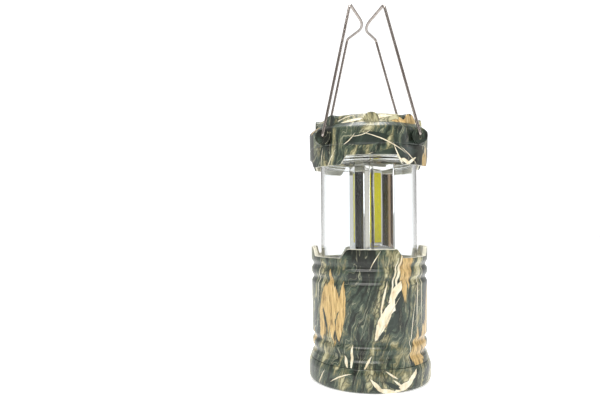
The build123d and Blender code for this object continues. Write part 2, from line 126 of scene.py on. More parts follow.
def calc(tree, operation, *values, clamp=False):
    return add(tree, "ShaderNodeMath", dict(enumerate(values)), operation=operation, use_clamp=clamp)


def step_up(tree, value, low, high):
    """0 below low, 1 above high, smooth between."""
    return add(tree, "ShaderNodeMapRange", {"Value": value, "From Min": low, "From Max": high},
               interpolation_type="SMOOTHSTEP")


def mix_colour(tree, below, above, amount):
    node = tree.nodes.new("ShaderNodeMix")
    node.data_type = "RGBA"
    for index, value in ((0, amount), (6, below), (7, above)):
        if isinstance(value, bpy.types.NodeSocket):
            tree.links.new(value, node.inputs[index])
        else:
            node.inputs[index].default_value = value
    return node.outputs[2]


def ramp(tree, value, stops):
    """Colour ramp from (position, hex) stops."""
    out = add(tree, "ShaderNodeValToRGB", {"Fac": value})
    elements = out.node.color_ramp.elements
    while len(elements) < len(stops):
        elements.new(0.5)
    for element, (place, code) in zip(elements, stops):
        element.position = place
        element.color = tint(code)
    return out


def finish_of(name, colour, roughness, **sockets):
    """A new material with its Principled shader. colour and roughness are set on it later if they vary."""
    material = bpy.data.materials.new(name)
    material.use_nodes = True
    tree = material.node_tree
    shader = tree.nodes["Principled BSDF"]
    shader.inputs["Base Color"].default_value = tint(colour)
    shader.inputs["Roughness"].default_value = roughness
    for key, value in sockets.items():
        shader.inputs[key.replace("_", " ")].default_value = value
    return material, tree, shader


def place_mm(tree):
    """Object coordinates in millimetres."""
    coords = tree.nodes.new("ShaderNodeTexCoord").outputs["Object"]
    return add(tree, "ShaderNodeVectorMath", {0: coords, "Scale": 1 / MM}, operation="SCALE")


def noise(tree, vector, scale, detail=3.0, roughness=0.5, distortion=0.0):
    """Noise whose scale is one over the size of its features in millimetres."""
    return add(tree, "ShaderNodeTexNoise", {"Vector": vector, "Scale": scale, "Detail": detail,
                                            "Roughness": roughness, "Distortion": distortion})


def stretched(tree, vector, sizes, turn=0.0):
    """Divide coordinates by a feature size along each axis."""
    return add(tree, "ShaderNodeMapping", {"Vector": vector, "Rotation": (0, turn, 0),
                                           "Scale": tuple(1 / s for s in sizes)})


def bumpy(tree, shader, height, depth_mm, strength=1.0):
    bump = add(tree, "ShaderNodeBump", {"Height": height, "Strength": strength, "Distance": depth_mm * MM})
    tree.links.new(bump, shader.inputs["Normal"])


# ---- The woodland print --------------------------------------------------------------------

WRAP_R = 42.0            # the film lies on a drum of this radius
CROWN_R = 39.5           # inside this radius it runs on over the top
BARK = (
    (0.22, "#10140F"), (0.34, "#1E261F"), (0.44, "#2E3A30"), (0.53, "#435045"), (0.60, "#565E4A"),
    (0.67, "#726F52"), (0.74, "#938D6A"), (0.84, "#BBB692"),
)
TORN_WOOD = ((0.30, "#4A3C22"), (0.41, "#8C7446"), (0.48, "#BE9F66"), (0.58, "#D0B47C"), (0.72, "#E0CC9E"))
BLEACHED = ((0.28, "#C2A57C"), (0.42, "#DCCFAF"), (0.62, "#EFEAD6"))
CRACK = "#20261F"
LEAF = ((0.30, "#1A211C"), (0.55, "#29342D"), (0.75, "#3A473C"))


def drum_coordinates(tree, place):
    """Round the drum in millimetres from the front, and up it, running on inward over a top or a foot."""
    split = add(tree, "ShaderNodeSeparateXYZ", {0: place}).node.outputs
    back = calc(tree, "MULTIPLY", split[1], -1.0)
    turn = calc(tree, "ARCTAN2", split[0], back)
    across = calc(tree, "MULTIPLY", turn, WRAP_R)
    squares = [calc(tree, "POWER", side, 2.0) for side in (split[0], split[1])]
    radius = calc(tree, "SQRT", calc(tree, "ADD", *squares))
    inward = calc(tree, "MAXIMUM", calc(tree, "SUBTRACT", CROWN_R, radius), 0.0)
    return across, calc(tree, "ADD", split[2], inward)


def torn_patch(tree, across, up, patch, spikes_up, spikes_down):
    """How far inside a patch of torn wood: splinters run up and down from a rounded middle."""
    at, height, half_width, half_height, lean = patch
    dv = calc(tree, "SUBTRACT", up, height)
    offset = calc(tree, "SUBTRACT", across, math.radians(at) * WRAP_R)
    du = calc(tree, "SUBTRACT", offset, calc(tree, "MULTIPLY", dv, lean))
    side = calc(tree, "DIVIDE", du, half_width)
    envelope = calc(tree, "SUBTRACT", 1.0, calc(tree, "POWER", calc(tree, "ABSOLUTE", side), 2.0))
    above = calc(tree, "GREATER_THAN", dv, 0.0)
    spikes = calc(tree, "ADD", calc(tree, "MULTIPLY", spikes_up, above),
                  calc(tree, "MULTIPLY", spikes_down, calc(tree, "SUBTRACT", 1.0, above)))
    reach = calc(tree, "MULTIPLY", envelope, calc(tree, "MULTIPLY_ADD", spikes, 2.6, -0.45))
    return calc(tree, "SUBTRACT", reach, calc(tree, "ABSOLUTE", calc(tree, "DIVIDE", dv, half_height)))


def blade(tree, across, up, shape, ragged):
    """How far inside a branch, twig or leaf: a blade that tapers to both ends, bent by curve."""
    at, height, tilt, half_length, half_width, curve, rough = shape
    du = calc(tree, "SUBTRACT", across, math.radians(at) * WRAP_R)
    dv = calc(tree, "SUBTRACT", up, height)
    sine, cosine = math.sin(math.radians(tilt)), math.cos(math.radians(tilt))
    along = calc(tree, "ADD", calc(tree, "MULTIPLY", du, sine), calc(tree, "MULTIPLY", dv, cosine))
    cross = calc(tree, "SUBTRACT", calc(tree, "MULTIPLY", du, cosine), calc(tree, "MULTIPLY", dv, sine))
    share = calc(tree, "DIVIDE", along, half_length)
    square = calc(tree, "MULTIPLY", share, share)
    bent = calc(tree, "SUBTRACT", cross, calc(tree, "MULTIPLY", square, curve))
    wavy = calc(tree, "ADD", bent, calc(tree, "MULTIPLY", calc(tree, "SUBTRACT", ragged, 0.5), rough * 2.0))
    width = calc(tree, "MULTIPLY", calc(tree, "SUBTRACT", 1.0, square), half_width)
    return calc(tree, "DIVIDE", calc(tree, "SUBTRACT", width, calc(tree, "ABSOLUTE", wavy)), half_width)


def strongest(tree, masks):
    best = masks[0]
    for mask in masks[1:]:
        best = calc(tree, "MAXIMUM", best, mask)
    return best


def printed_abs(name, tone, patches, splinters, branches, leaves, twigs, over_top=False):
    """Moulded ABS dipped in a woodland film and lacquered: satin, with the ivory plastic bare where the
    'film' attribute is 0. The film's own detail is drawn no finer than about half a millimetre. The bark's
    grain runs up the drum, or straight over the top from front to back."""
    material, tree, shader = finish_of(name, "#5A6455", 0.36, Coat_Weight=0.22, Coat_Roughness=0.2,
                                       Specular_IOR_Level=0.38)
    place = place_mm(tree)
    across, up = drum_coordinates(tree, place)
    flat = add(tree, "ShaderNodeCombineXYZ", {0: across, 1: up})
    warp = noise(tree, stretched(tree, place, (16, 16, 34)), 1.0, 2.0)
    warp_more = noise(tree, stretched(tree, place, (7, 7, 12)), 1.0, 2.0)
    slant = calc(tree, "MULTIPLY_ADD", warp, 22.0, -11.0)
    beside, along = across, up
    if over_top:
        split = add(tree, "ShaderNodeSeparateXYZ", {0: place}).node.outputs
        beside, along = split[0], calc(tree, "ADD", calc(tree, "ADD", split[1], split[2]), CROWN_R)
    waved = calc(tree, "ADD", calc(tree, "ADD", beside, slant), calc(tree, "MULTIPLY", along, -0.30))
    waved = calc(tree, "MULTIPLY_ADD", warp_more, 5.0, waved)
    grain_at = add(tree, "ShaderNodeCombineXYZ", {0: waved, 1: along})

    areas = noise(tree, stretched(tree, place, (17, 17, 42)), 1.0, 3.0, 0.55, 0.6)
    streaks = noise(tree, stretched(tree, grain_at, (4.6, 36, 1)), 1.0, 6.0, 0.62, 0.35)
    fibres = noise(tree, stretched(tree, grain_at, (1.0, 9, 1)), 1.0, 4.0, 0.7, 0.8)
    lichen = noise(tree, stretched(tree, place, (2.4, 2.4, 3.2)), 1.0, 5.0, 0.72, 1.2)
    value = 0.50 + tone
    for pattern, strength in ((areas, 1.55), (streaks, 1.45), (fibres, 0.32), (lichen, 0.42)):
        value = calc(tree, "MULTIPLY_ADD", calc(tree, "SUBTRACT", pattern, 0.5), strength, value)
    colour = ramp(tree, value, BARK)

    plates = stretched(tree, grain_at, (2.6, 5.0, 1))
    crackle = add(tree, "ShaderNodeTexVoronoi", {"Vector": plates, "Scale": 1.0}, feature="DISTANCE_TO_EDGE")
    crusted = step_up(tree, noise(tree, stretched(tree, place, (13, 13, 22)), 1.0, 2.0), 0.50, 0.60)
    cracks = calc(tree, "MULTIPLY", calc(tree, "SUBTRACT", 1.0, step_up(tree, crackle, 0.02, 0.16)), crusted)
    colour = mix_colour(tree, colour, tint(CRACK), calc(tree, "MULTIPLY", cracks, 0.75))
    lines = noise(tree, stretched(tree, grain_at, (2.8, 30, 1)), 1.0, 2.0, 0.5, 0.4)
    for level, code, strength in ((0.43, "#171B18", 0.75), (0.58, "#A9A98E", 0.55)):
        gap = calc(tree, "ABSOLUTE", calc(tree, "SUBTRACT", lines, level))
        stroke = calc(tree, "SUBTRACT", 1.0, step_up(tree, gap, 0.004, 0.016))
        colour = mix_colour(tree, colour, tint(code), calc(tree, "MULTIPLY", stroke, strength))

    ragged = noise(tree, stretched(tree, flat, (2.2, 5.5, 1)), 1.0, 4.0, 0.6)
    spikes_up = noise(tree, stretched(tree, flat, (2.9, 60, 1)), 1.0, 3.0, 0.6)
    elsewhere = add(tree, "ShaderNodeVectorMath", {0: flat, 1: (53.0, 9.0, 0.0)})
    spikes_down = noise(tree, stretched(tree, elsewhere, (2.4, 60, 1)), 1.0, 3.0, 0.6)
    wood_grain = noise(tree, stretched(tree, flat, (1.7, 15, 1)), 1.0, 5.0, 0.72, 0.9)
    soft_grain = noise(tree, stretched(tree, flat, (4.5, 12, 1)), 1.0, 3.0, 0.6, 0.6)

    kinds = (
        ([torn_patch(tree, across, up, p, spikes_up, spikes_down) for p in patches]
         + [blade(tree, across, up, b, ragged) for b in splinters], TORN_WOOD, wood_grain, 0.18),
        ([blade(tree, across, up, b, ragged) for b in branches], BLEACHED, soft_grain, 0.30),
        ([blade(tree, across, up, b, ragged) for b in leaves], LEAF, streaks, 0.0),
        ([blade(tree, across, up, b, ragged) for b in twigs], BLEACHED, wood_grain, 0.9),
    )
    for masks, stops, texture, shade in kinds:
        if not masks:
            continue
        inside = strongest(tree, masks)
        if shade:
            dark = calc(tree, "MULTIPLY", step_up(tree, inside, -shade, 0.0), 0.72)
            colour = mix_colour(tree, colour, tint(CRACK), dark)
        colour = mix_colour(tree, colour, ramp(tree, texture, stops), step_up(tree, inside, 0.0, 0.06))

    film = add(tree, "ShaderNodeAttribute", attribute_name="film").node.outputs["Fac"]
    edge = calc(tree, "MULTIPLY_ADD", calc(tree, "SUBTRACT", ragged, 0.5), 0.8, film)
    covered = step_up(tree, edge, 0.42, 0.58)
    bare = ramp(tree, soft_grain, ((0.3, "#D9D6C4"), (0.6, "#E6E3D3")))
    tree.links.new(mix_colour(tree, bare, colour, covered), shader.inputs["Base Color"])
    skin_grain = noise(tree, place, 1 / 0.55, 3.0, 0.6)
    gloss = calc(tree, "MULTIPLY_ADD", skin_grain, 0.16, 0.28)
    tree.links.new(gloss, shader.inputs["Roughness"])
    bumpy(tree, shader, calc(tree, "MULTIPLY_ADD", streaks, 0.35, skin_grain), 0.035, 0.5)
    return material


# Shapes of the print, drawn one by one. A patch of torn wood is (degrees round from the front, height, half
# width, half height, lean). A blade is (degrees, height, tilt, half length, half width, curve, raggedness).
HOUSING_PATCHES = (
    (-44, 56, 9.5, 20, 0.10), (34.0, 88, 5.6, 36, 0.06), (50, 25, 8.8, 15, 0.10), (63, 32, 7.0, 14, 0.0),
    (-75, 31, 3.4, 9, 0.0), (118, 70, 9.0, 20, 0.12), (152, 38, 10.0, 21, -0.08), (-150, 66, 10.0, 24, 0.1),
    (-112, 50, 6.5, 20, 0.0),
)
HOUSING_SPLINTERS = (
    (-41, 62, -3, 20, 3.2, 0.0, 0.9), (-29, 56, 3, 18, 2.6, 0.0, 0.9), (-54, 54, 10, 16, 2.8, 0.0, 0.9),
    (-52, 42, 22, 12, 3.2, 0.0, 0.9), (-40, 42, -5, 13, 2.6, 0.0, 0.9), (-32, 44, 6, 12, 2.8, 0.0, 0.9),
    (70, 50, 4, 20, 2.6, 0.0, 0.7), (45, 30, 14, 9, 1.6, 0.0, 0.7), (124, 74, -6, 24, 3.0, 0.0, 0.9),
    (-146, 58, 8, 26, 3.2, 0.0, 0.9), (158, 44, 10, 24, 3.0, 0.0, 0.9),
)
HOUSING_BRANCHES = (
    (10.5, 49, 27, 16, 3.5, 0.8, 1.4), (21.5, 66.5, 36, 9, 3.0, 0.0, 1.1), (18, 56, 48, 9, 2.6, 0.0, 1.2),
    (24.5, 79, 13, 15, 1.0, 0.5, 0.5), (20, 76, 13, 15, 0.6, 0.5, 0.5), (9.5, 62, 12, 13, 0.8, 0.8, 0.5),
    (-20, 23, 1, 9, 1.0, 0.3, 0.4), (-25.5, 20, -22, 4.5, 1.1, 0.0, 0.4), (-5, 20, 30, 5.5, 0.8, 0.0, 0.4),
    (134, 60, 28, 20, 3.0, 2.0, 1.0), (-168, 50, -20, 24, 3.2, 2.0, 1.0), (-97, 70, 16, 18, 2.0, 1.0, 0.8),
    (175, 80, 24, 10, 2.2, 0.0, 0.9),
)
HOUSING_LEAVES = (
    (25.0, 60.5, 14, 8, 3.2, 0.0, 0.4), (18.5, 46, 34, 9, 2.8, 0.0, 0.4),
    (-50, 47, -16, 8.5, 1.3, 0.0, 0.3), (-17, 27, 2, 12, 0.9, 0.0, 0.3), (8, 38, 34, 4.0, 1.3, 0.0, 0.3),
    (140, 58, 10, 9, 4.0, 0.0, 0.4), (-160, 54, -30, 9, 3.6, 0.0, 0.4), (58, 24, -20, 5, 1.2, 0.0, 0.3),
    (-38, 36, 10, 5, 0.8, 0.0, 0.3),
)
HOUSING_TWIGS = (
    (48, 62, 3, 30, 0.4, 1.5, 0.4), (56, 66, 2, 26, 0.4, 1.0, 0.3), (40, 40, 8, 24, 0.3, 1.0, 0.3),
    (2, 88, 30, 8, 0.3, 0.5, 0.3), (14, 50, 30, 18, 0.25, 1.0, 0.2),
    (100, 55, 14, 26, 0.5, 2.0, 0.3), (-128, 50, -12, 26, 0.5, 2.0, 0.3), (-60, 72, 8, 18, 0.35, 1.0, 0.3),
)
CAP_PATCHES = ((95, 10, 8, 6, 0.2), (-165, 9, 9, 6, 0.1), (-92, 11, 6, 6, 0.0))
CAP_BRANCHES = (
    (36, 8.5, 42, 8, 1.9, 0.0, 0.9), (27, 4.0, 66, 8, 2.5, 0.0, 0.9), (3, 5.5, -42, 7, 1.3, 0.0, 0.7),
    (12, 2.0, -78, 7, 1.9, 0.0, 0.8), (16, 12.5, -56, 5, 0.7, 0.0, 0.4), (22, 6.5, -50, 5, 0.7, 0.0, 0.4),
    (160, 8, 50, 12, 2.4, 1.0, 0.9), (-120, 8, -48, 11, 2.2, 1.0, 0.9),
)
CAP_LEAVES = ((17, 5.5, -60, 6, 1.6, 0.0, 0.3), (60, 10, 60, 8, 2.4, 0.0, 0.4))
CAP_TWIGS = ((-30, 10, 64, 9, 0.5, 1.0, 0.3), (-52, 7, 30, 7, 0.4, 0.5, 0.3), (70, 8, 60, 9, 0.5, 1.0, 0.3))
HEAD_PATCHES = ((-120, 165, 9, 10, 0.1), (150, 164, 10, 9, 0.0))
HEAD_SPLINTERS = (
    (66, 158, 4, 8, 2.6, 0.0, 0.8), (60, 154, 0, 7, 2.4, 0.0, 0.8), (-66, 178, 60, 6, 1.2, 0.0, 0.6),
)
HEAD_BRANCHES = (
    (31, 154.5, 118, 6, 1.3, 0.0, 0.6), (39, 154, 60, 6, 1.1, 0.0, 0.6), (64, 163, 8, 4, 1.2, 0.0, 0.6),
    (-150, 160, 30, 12, 2.4, 1.0, 0.9), (120, 170, 60, 12, 2.0, 1.0, 0.9),
)
HEAD_LEAVES = (
    (-4, 168.5, 84, 15, 4.4, 0.0, 0.5), (24, 159, 82, 19, 4.0, 0.0, 0.4), (48, 167, 84, 14, 1.8, 0.0, 0.4),
)
HEAD_TWIGS = (
    (-20, 168.0, 48, 6, 0.30, -1.0, 0.2), (-9, 171.0, 74, 7, 0.28, -1.2, 0.2),
    (13, 167, 114, 18, 0.36, 1.6, 0.2), (24, 158.5, 150, 8, 0.42, -1.0, 0.2),
    (38, 157.5, 128, 11, 0.28, 0.6, 0.2), (-40, 156, 30, 8, 0.35, 0.5, 0.3),
    (-52, 158, 12, 7, 0.3, 0.5, 0.3), (-8, 156, 60, 8, 0.3, 0.5, 0.3),
)
COVER_PATCHES = (
    (38, 183, 13, 5, 0.4), (56, 186, 9, 5, 0.0), (170, 186, 12, 7, 0.1), (-110, 187, 10, 7, 0.2),
)
COVER_BRANCHES = (
    (-20, 184, 76, 9, 1.8, 0.0, 1.0), (10, 188, 70, 12, 2.0, 2.0, 0.9), (-52, 183, 60, 7, 1.6, 0.0, 0.9),
    (100, 188, 60, 14, 2.4, 2.0, 0.9), (-150, 190, 50, 14, 2.4, 2.0, 0.9),
)
COVER_LEAVES = ((-62, 184, 20, 5, 3.0, 0.0, 0.4), (120, 184, 40, 8, 3.0, 0.0, 0.4))
COVER_TWIGS = (
    (-5, 182, 84, 16, 0.5, 1.0, 0.3), (60, 184, 60, 10, 0.4, 1.0, 0.3), (-30, 188, 60, 12, 0.5, 2.0, 0.3),
)


# ---- Plain finishes ------------------------------------------------------------------------

def moulded_ivory():
    """Unpainted ivory ABS: warm, even, faintly grained from the mould, with a soft sheen."""
    material, tree, shader = finish_of("moulded_ivory_abs", "#E6E3D3", 0.42)
    place = place_mm(tree)
    clouds = noise(tree, place, 1 / 9.0, 3.0)
    tree.links.new(ramp(tree, clouds, ((0.3, "#DEDAC8"), (0.65, "#EBE8DA"))), shader.inputs["Base Color"])
    grain = noise(tree, place, 1 / 0.5, 3.0, 0.6)
    tree.links.new(calc(tree, "MULTIPLY_ADD", grain, 0.18, 0.34), shader.inputs["Roughness"])
    bumpy(tree, shader, grain, 0.03, 0.4)
    return material


def clear_styrene():
    """Injection-moulded clear polystyrene: water-clear with a cool cast and faint flow lines."""
    material, tree, shader = finish_of("clear_polystyrene", "#FCFEFF", 0.02, Transmission_Weight=1.0,
                                       IOR=1.45)
    place = place_mm(tree)
    flow = noise(tree, stretched(tree, place, (14, 14, 60)), 1.0, 2.0)
    tree.links.new(calc(tree, "MULTIPLY_ADD", flow, 0.03, 0.005), shader.inputs["Roughness"])
    bumpy(tree, shader, flow, 0.05, 0.3)
    return material


def mirror_film():
    """Vacuum-metallised ABS: a bright mirror that carries the slight waviness of its moulding."""
    material, tree, shader = finish_of("vacuum_metallised_mirror", "#E4E3E0", 0.05, Metallic=1.0)
    place = place_mm(tree)
    wave = noise(tree, stretched(tree, place, (6, 6, 22)), 1.0, 2.0)
    haze = noise(tree, place, 1 / 3.0, 4.0, 0.6)
    tree.links.new(calc(tree, "MULTIPLY_ADD", haze, 0.07, 0.02), shader.inputs["Roughness"])
    bumpy(tree, shader, wave, 0.06, 0.35)
    return material


def plated_wire():
    """Nickel-plated steel wire: bright, with long faint bands along it from drawing."""
    material, tree, shader = finish_of("nickel_plated_wire", "#A69D98", 0.24, Metallic=1.0)
    place = place_mm(tree)
    drawn = noise(tree, stretched(tree, place, (3, 3, 26)), 1.0, 2.0)
    tree.links.new(ramp(tree, drawn, ((0.3, "#978D88"), (0.7, "#B4ACA7"))), shader.inputs["Base Color"])
    return material


def phosphor_silicone():
    """Phosphor-filled silicone over the light chips: saturated yellow, slightly translucent and domed."""
    material, tree, shader = finish_of("phosphor_silicone", "#D8D21E", 0.5, Subsurface_Weight=0.15,
                                       Subsurface_Radius=(0.0012, 0.001, 0.0003), Specular_IOR_Level=0.2)
    place = place_mm(tree)
    cloud = noise(tree, place, 1 / 2.5, 4.0, 0.6)
    tree.links.new(ramp(tree, cloud, ((0.3, "#E2D800"), (0.7, "#F2E804"))), shader.inputs["Base Color"])
    bumpy(tree, shader, noise(tree, place, 1 / 0.6, 3.0), 0.04, 0.4)
    return material


def solder_mask():
    """White solder mask over an aluminium board: chalky white with a dull sheen."""
    material, tree, shader = finish_of("white_solder_mask", "#E8E6DC", 0.45)
    speck = noise(tree, place_mm(tree), 1 / 0.7, 4.0)
    tree.links.new(ramp(tree, speck, ((0.3, "#DAD8CE"), (0.7, "#EDEBE2"))), shader.inputs["Base Color"])
    bumpy(tree, shader, speck, 0.02, 0.3)
    return material


def metal(name, light, dark, roughness, grain_mm=0.6):
    """Plain sheet or turned metal: a brushed grain varies its tone and roughness."""
    material, tree, shader = finish_of(name, light, roughness, Metallic=1.0)
    grain = noise(tree, stretched(tree, place_mm(tree), (grain_mm, grain_mm, 8 * grain_mm)), 1.0, 4.0)
    tree.links.new(ramp(tree, grain, ((0.3, dark), (0.7, light))), shader.inputs["Base Color"])
    tree.links.new(calc(tree, "MULTIPLY_ADD", grain, 0.2, roughness - 0.1), shader.inputs["Roughness"])
    return material


def plain(name, light, dark, roughness, grain_mm, depth_mm=0.02):
    """A solid plastic or rubber: two near tones and a fine moulded grain."""
    material, tree, shader = finish_of(name, light, roughness)
    grain = noise(tree, place_mm(tree), 1 / grain_mm, 4.0)
    tree.links.new(ramp(tree, grain, ((0.3, dark), (0.7, light))), shader.inputs["Base Color"])
    bumpy(tree, shader, grain, depth_mm, 0.4)
    return material


# ---- Mesh helpers --------------------------------------------------------------------------

def mesh_object(name, mesh, material, sharp_deg=SHARP_DEG):
    mesh.shade_smooth()
    mesh.set_sharp_from_angle(angle=math.radians(sharp_deg))
    mesh.materials.clear()
    mesh.materials.append(material)
    piece = bpy.data.objects.new(name, mesh)
    bpy.context.scene.collection.objects.link(piece)
    return piece


def from_bmesh(bm, name):
    mesh = bpy.data.meshes.new(name)
    bm.to_mesh(mesh)
    bm.free()
    return mesh


def rounded(corners, steps=4):
    """Points along a closed outline of (radius, height, rounding), with an arc at each rounded corner."""
    points = []
    count = len(corners)
    for k, (r, z, bend) in enumerate(corners):
        here = Vector((r, z))
        before = Vector(corners[k - 1][:2]) - here
        after = Vector(corners[(k + 1) % count][:2]) - here
        if bend <= 0 or before.length < 1e-6 or after.length < 1e-6:
            points.append((r, z))
            continue
        reach = min(bend, 0.49 * before.length, 0.49 * after.length)
        first = here + before.normalized() * reach
        last = here + after.normalized() * reach
        for step in range(steps + 1):
            t = step / steps
            point = first * (1 - t) ** 2 + here * 2 * t * (1 - t) + last * t ** 2
            points.append((point.x, point.y))
    return points


def skin(name, outline, columns):
    """A closed ring of quads. outline(degrees) gives the (radius, height) points of one column."""
    bm = bmesh.new()
    rings = []
    for degrees in columns:
        turn = math.radians(degrees)
        ring = []
        for r, z in outline(degrees):
            ring.append(bm.verts.new((r * math.sin(turn) * MM, -r * math.cos(turn) * MM, z * MM)))
        rings.append(ring)
    rows = len(rings[0])
    for k, ring in enumerate(rings):
        follow = rings[(k + 1) % len(rings)]
        for j in range(rows):
            up = (j + 1) % rows
            bm.faces.new((ring[j], follow[j], follow[up], ring[up]))
    bmesh.ops.remove_doubles(bm, verts=bm.verts, dist=1e-7)
    bmesh.ops.dissolve_degenerate(bm, edges=bm.edges, dist=1e-8)
    return from_bmesh(bm, name)


def film_layer(piece, rule):
    """Say how far the printed film covers each point, from its (radius, height)."""
    layer = piece.data.attributes.new("film", "FLOAT", "POINT")
    for vert, value in zip(piece.data.vertices, layer.data):
        x, y, z = vert.co / MM
        value.value = min(1.0, max(0.0, float(rule(math.hypot(x, y), z))))


def round_the_ring(count):
    return [360 * k / count for k in range(count)]


def tab_share(degrees, radius, spare=0.0):
    """How much of a tab's height stands at this place round the edge, with softened corners."""
    total = 0.0
    window = (-0.5, -0.25, 0.0, 0.25, 0.5)
    for shift in window:
        here = degrees + math.degrees(shift / radius)
        best = 0.0
        for centre, (top, root) in ((0, FRONT_TAB), (90, SIDE_TAB), (180, FRONT_TAB), (270, SIDE_TAB)):
            offset = math.radians((here - centre + 180) % 360 - 180)
            if abs(offset) < math.pi / 2:
                flat = radius * abs(math.sin(offset)) - spare
                best = max(best, min(1.0, (root - flat) / (root - top)))
        total += best
    return total / len(window)


def cut(piece, tool, operation):
    """Boolean with a helper mesh that isn't kept."""
    modifier = piece.modifiers.new("cut", "BOOLEAN")
    modifier.operation = operation
    modifier.solver = "MANIFOLD"
    modifier.object = tool
    graph = bpy.context.evaluated_depsgraph_get()
    result = bpy.data.meshes.new_from_object(piece.evaluated_get(graph), depsgraph=graph)
    piece.modifiers.clear()
    piece.data = result
    bpy.data.objects.remove(tool)
    piece.data.set_sharp_from_angle(angle=math.radians(SHARP_DEG))
    return piece


def tool_object(name, bars):
    """One helper object out of round bars, each (radius, length, matrix) in millimetres."""
    bm = bmesh.new()
    for radius, length, matrix in bars:
        bmesh.ops.create_cone(bm, cap_ends=True, segments=48, radius1=radius, radius2=radius, depth=length,
                              matrix=Matrix.Scale(MM, 4) @ matrix)
    piece = bpy.data.objects.new(name, from_bmesh(bm, name))
    bpy.context.scene.collection.objects.link(piece)
    return piece


def across_bar(radius, near, far, x, z, side):
    """A bar along Y between two distances from the middle plane."""
    matrix = Matrix.Translation((x, side * (near + far) / 2, z)) @ Matrix.Rotation(math.pi / 2, 4, "X")
    return radius, far - near, matrix


# ---- Repeating by Geometry Nodes -----------------------------------------------------------

def geometry_tree(name, **kinds):
    """A new tree with the given inputs, and those inputs by name."""
    tree = bpy.data.node_groups.new(name, "GeometryNodeTree")
    for label, kind in kinds.items():
        tree.interface.new_socket(label, in_out="INPUT", socket_type="NodeSocket" + kind)
    tree.interface.new_socket("Geometry", in_out="OUTPUT", socket_type="NodeSocketGeometry")
    return tree, tree.nodes.new("NodeGroupInput").outputs


def close_tree(tree, geometry, material):
    """End a tree: make the copies real, give them the material, and hand them out."""
    real = add(tree, "GeometryNodeRealizeInstances", {0: geometry})
    coated = add(tree, "GeometryNodeSetMaterial", {"Geometry": real, "Material": material})
    tree.links.new(coated, tree.nodes.new("NodeGroupOutput").inputs["Geometry"])
    return tree


def repeat_tree(name, ring):
    """Copies of a unit, turned round the Z axis by Step each, or moved up it by Step each from Start."""
    tree, given = geometry_tree(name, Unit="Object", Count="Int", Step="Float", Start="Vector",
                                Material="Material")
    unit = add(tree, "GeometryNodeObjectInfo", {"Object": given["Unit"]}, transform_space="ORIGINAL")
    unit = unit.node.outputs["Geometry"]
    index = add(tree, "GeometryNodeInputIndex")
    offset = add(tree, "ShaderNodeMath", {0: index, 1: given["Step"]}, operation="MULTIPLY")
    along = add(tree, "ShaderNodeCombineXYZ", {2: offset})
    points = add(tree, "GeometryNodePoints", {"Count": given["Count"]})
    turn = (0, 0, 0)
    if ring:
        turn = along
    else:
        place = add(tree, "ShaderNodeVectorMath", {0: given["Start"], 1: along}, operation="ADD")
        tree.links.new(place, points.node.inputs["Position"])
    copies = add(tree, "GeometryNodeInstanceOnPoints", {"Points": points, "Instance": unit, "Rotation": turn})
    return close_tree(tree, copies, given["Material"])


def repeated(name, tree, unit, material, **values):
    """Run a repeat tree once and keep its plain mesh."""
    holder = bpy.data.objects.new(name, bpy.data.meshes.new(name))
    bpy.context.scene.collection.objects.link(holder)
    modifier = holder.modifiers.new("repeat", "NODES")
    modifier.node_group = tree
    given = {"Unit": unit, "Material": material, **values}
    for item in tree.interface.items_tree:
        if item.in_out == "INPUT" and item.name in given:
            modifier[item.identifier] = given[item.name]
    graph = bpy.context.evaluated_depsgraph_get()
    mesh = bpy.data.meshes.new_from_object(holder.evaluated_get(graph), depsgraph=graph)
    bpy.data.objects.remove(holder)
    bpy.data.objects.remove(unit)
    return mesh_object(name, mesh, material)


# ---- Shells --------------------------------------------------------------------------------

def keep(piece, body, slot, *replaced):
    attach(piece, body)
    if replaced:
        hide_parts(*replaced)
    return piece


def body_radius(z):
    return BODY_R - BODY_DRAFT * (TAB_Z - z) / (TAB_Z - 19.3)


def groove(z, half=2.85, depth=1.55):
    """One rolled groove: five corners with softened shoulders."""
    r = body_radius(z)
    return [(r, z - half, 0.9), (r - 0.72 * depth, z - 0.45 * half, 0.8), (r - depth, z, 0.8),
            (r - 0.72 * depth, z + 0.45 * half, 0.8), (r, z + half, 0.9)]


def housing():
    grooves = [22.7, 31.7, NOTCH_Z - 15.0, NOTCH_Z - 6.0]

    def outline(degrees):
        top = NOTCH_Z + TAB_H * tab_share(degrees, BODY_R)
        corners = [
            (BORE_R, 3.7, 0), (SKIRT_R, 3.7, 0.3), (SKIRT_R, SEAM_Z + 0.3, 0),
            (42.7, SEAM_Z + 0.3, 0.35), (42.15, 17.9, 0.5), (body_radius(19.6), 19.6, 0.4),
        ]
        for z in grooves:
            corners += groove(z)
        corners += [(BODY_R, NOTCH_Z - 1.2, 0), (BODY_R, top, 0.9), (BORE_R + 0.2, top, 0.5),
                    (BORE_R, NOTCH_Z - 1.2, 0), (BORE_R, NOTCH_Z - 20, 0)]
        return rounded(corners)

    mesh = skin("housing_shell", outline, round_the_ring(540))
    material = printed_abs("woodland_printed_abs_housing", 0.0, HOUSING_PATCHES, HOUSING_SPLINTERS,
                           HOUSING_BRANCHES, HOUSING_LEAVES, HOUSING_TWIGS)
    piece = mesh_object("housing_shell", mesh, material)
    dimples = []
    for degrees in (-100, 100):
        wall = Matrix.Rotation(math.radians(degrees), 4, "Z") @ Matrix.Translation((0, -BORE_R, TAB_Z - 3.9))
        dimples.append((3.5, 1.0, wall @ Matrix.Rotation(math.pi / 2, 4, "X")))
    cut(piece, tool_object("dimples", dimples), "DIFFERENCE")

    def film(r, z):
        """The film stops short of the rim's outer edge: the bare ivory line there is also a painted highlight
        on that edge. The seam below shows bare plastic.
        """
        if z > NOTCH_Z - 1.5:
            return (r - BODY_R + 0.45) / 0.6
        return z > SEAM_Z + 0.2 and r > 39.3

    film_layer(piece, film)
    keep(piece, "housing", "camo_plastic", "body_shell")


